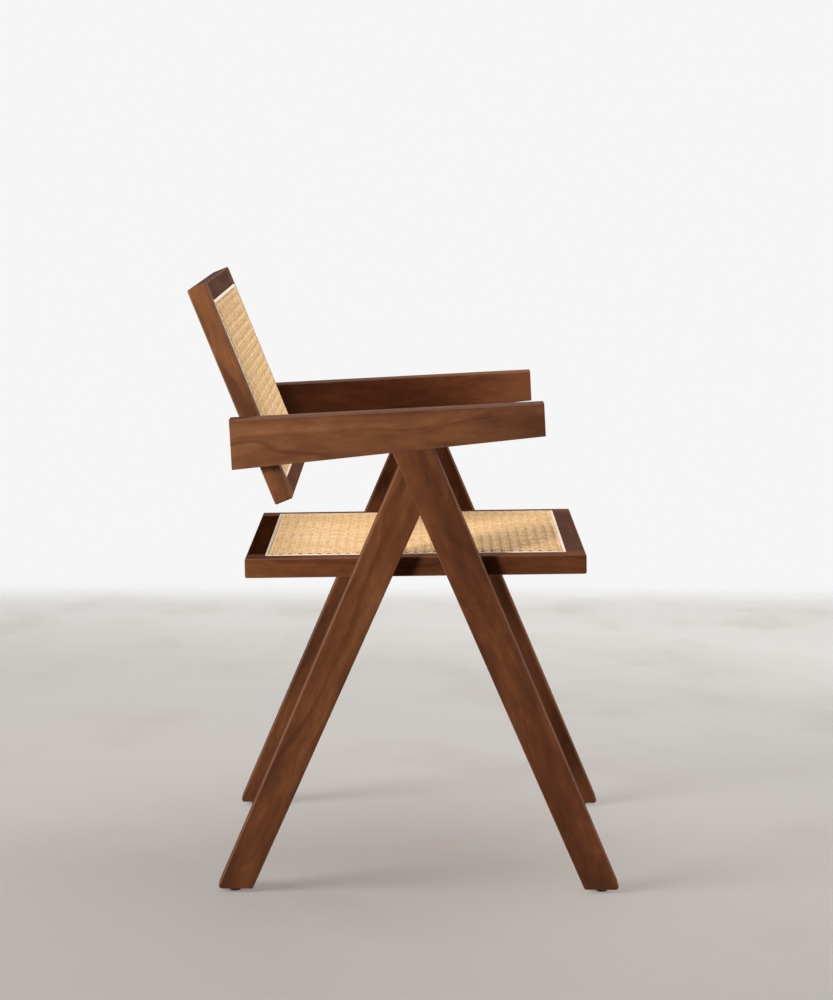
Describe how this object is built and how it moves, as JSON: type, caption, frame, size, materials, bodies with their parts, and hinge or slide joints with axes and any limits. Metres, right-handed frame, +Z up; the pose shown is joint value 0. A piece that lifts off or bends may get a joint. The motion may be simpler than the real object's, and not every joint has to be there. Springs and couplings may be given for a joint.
{
  "type": "dining armchair",
  "caption": "Open-sided dining armchair with inverted-V leg pairs, tapered straight arms, and woven cane seat and reclined back in stained wood frames.",
  "frame": {"origin": "on the floor, at the centre of the overall box", "axes": "+Z up, the chair faces -Y, +X to the sitter's left"},
  "size_m": [0.54, 0.5673, 0.8002],
  "materials": {
    "stained_wood": "satin dark brown stain with the grain showing",
    "cane": "natural woven cane, low sheen",
    "reed": "natural pale reed, low sheen",
    "glide_plastic": "matte",
    "steel": "zinc plated",
    "dowel_wood": "bare"
  },
  "bodies": {
    "root": {"arm_right": "stained_wood", "arm_left": "stained_wood", "front_leg_right": "stained_wood", "front_leg_left": "stained_wood", "rear_leg_right": "stained_wood", "rear_leg_left": "stained_wood", "seat_side_right": "stained_wood", "seat_side_left": "stained_wood", "seat_rail_front": "stained_wood", "seat_rail_rear": "stained_wood", "back_stile_right": "stained_wood", "back_stile_left": "stained_wood", "back_rail_top": "stained_wood", "back_rail_bottom": "stained_wood", "seat_cane": "cane", "back_cane": "cane", "seat_spline": "reed", "back_spline": "reed", "glide_pad_front_right": "glide_plastic", "glide_pad_front_left": "glide_plastic", "glide_pad_rear_right": "glide_plastic", "glide_pad_rear_left": "glide_plastic", "glide_nails": "steel", "seat_screws": "steel", "arm_dowels": "dowel_wood", "leg_dowels": "dowel_wood", "back_arm_dowels": "dowel_wood", "seat_dowels": "dowel_wood", "back_dowels": "dowel_wood"}
  },
  "joints": []
}
